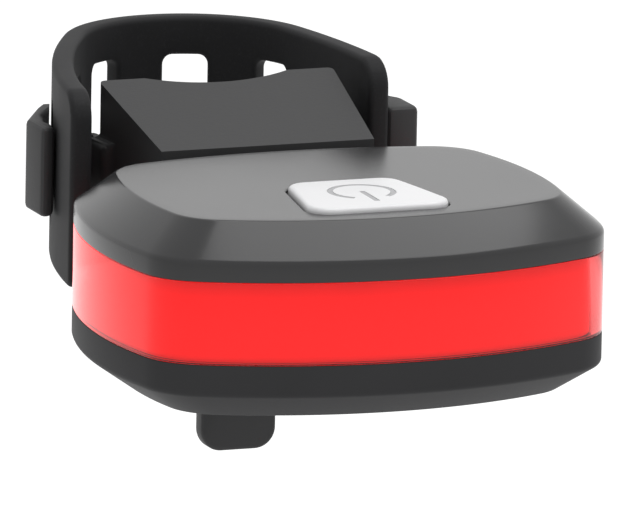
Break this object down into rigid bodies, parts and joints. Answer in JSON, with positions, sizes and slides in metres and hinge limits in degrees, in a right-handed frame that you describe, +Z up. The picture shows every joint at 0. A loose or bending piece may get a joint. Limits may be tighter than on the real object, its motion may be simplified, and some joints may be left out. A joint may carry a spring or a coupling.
{
  "type": "bicycle tail light",
  "caption": "Bicycle tail light with a clear lens band over a red glowing band, a white power button and a rubber strap that hooks to its bracket round a seat post.",
  "frame": {"origin": "on the seat post's axis, at half the height of the strap", "axes": "+Z up along the seat post, -Y from the post towards the light's glowing front, +X towards the shorter end of the strap"},
  "size_m": [0.0503, 0.0782, 0.0387],
  "materials": {
    "cover_plastic": "fine satin",
    "bracket_plastic": "satin",
    "lens_plastic": "clear, polished",
    "red_plastic": "translucent red",
    "white_plastic": "satin white",
    "symbol_paint": "matt grey",
    "strap_rubber": "satin",
    "seal_rubber": "matt",
    "foam": "matt foam",
    "strip_board": "satin",
    "chip_resin": "satin",
    "chip_plastic": "matt",
    "switch_plastic": "matt",
    "battery_wrap": "satin foil",
    "socket_steel": "plated",
    "screw_steel": "zinc plated"
  },
  "bodies": {
    "bracket_body": {"bracket": "bracket_plastic", "cradle_pad": "strap_rubber", "strap": "strap_rubber"},
    "light_body": {"top_cover": "cover_plastic", "bottom_cover": "cover_plastic", "lens": "lens_plastic", "diffuser": "red_plastic", "led_strip": "strip_board", "led_chips": "chip_resin", "led_frame": "white_plastic", "upper_seal": "seal_rubber", "lower_seal": "seal_rubber", "circuit_board": "strip_board", "control_chip": "chip_plastic", "switch_body": "chip_plastic", "battery_cell": "battery_wrap", "battery_foam": "foam", "charging_socket": "socket_steel", "housing_screws": "screw_steel", "rear_clip": "bracket_plastic"},
    "button_body": {"power_button": "white_plastic", "power_symbol": "symbol_paint"},
    "plunger_body": {"switch_plunger": "switch_plastic"},
    "flap_body": {"port_cover": "strap_rubber"}
  },
  "joints": [
    {"name": "light_slide", "type": "slide", "parent": "bracket_body", "child": "light_body", "axis": [0, 0, -1], "range_m": [0, 0.01]},
    {"name": "button_press", "type": "slide", "parent": "light_body", "child": "button_body", "axis": [0, 0, -1], "range_m": [0, 0.0005], "stiffness_N_per_m": 150, "springref_m": -0.0003},
    {"name": "plunger_press", "type": "slide", "parent": "light_body", "child": "plunger_body", "axis": [0, 0, -1], "range_m": [0, 0.00025]},
    {"name": "flap_hinge", "type": "hinge", "parent": "light_body", "child": "flap_body", "pos_m": [-0.00135, -0.03575, -0.01503], "axis": [-1, 0, 0], "range_deg": [0, 110]}
  ],
  "couplings": [
    {"joint": "plunger_press", "follows": "button_press", "ratio": 0.5}
  ]
}
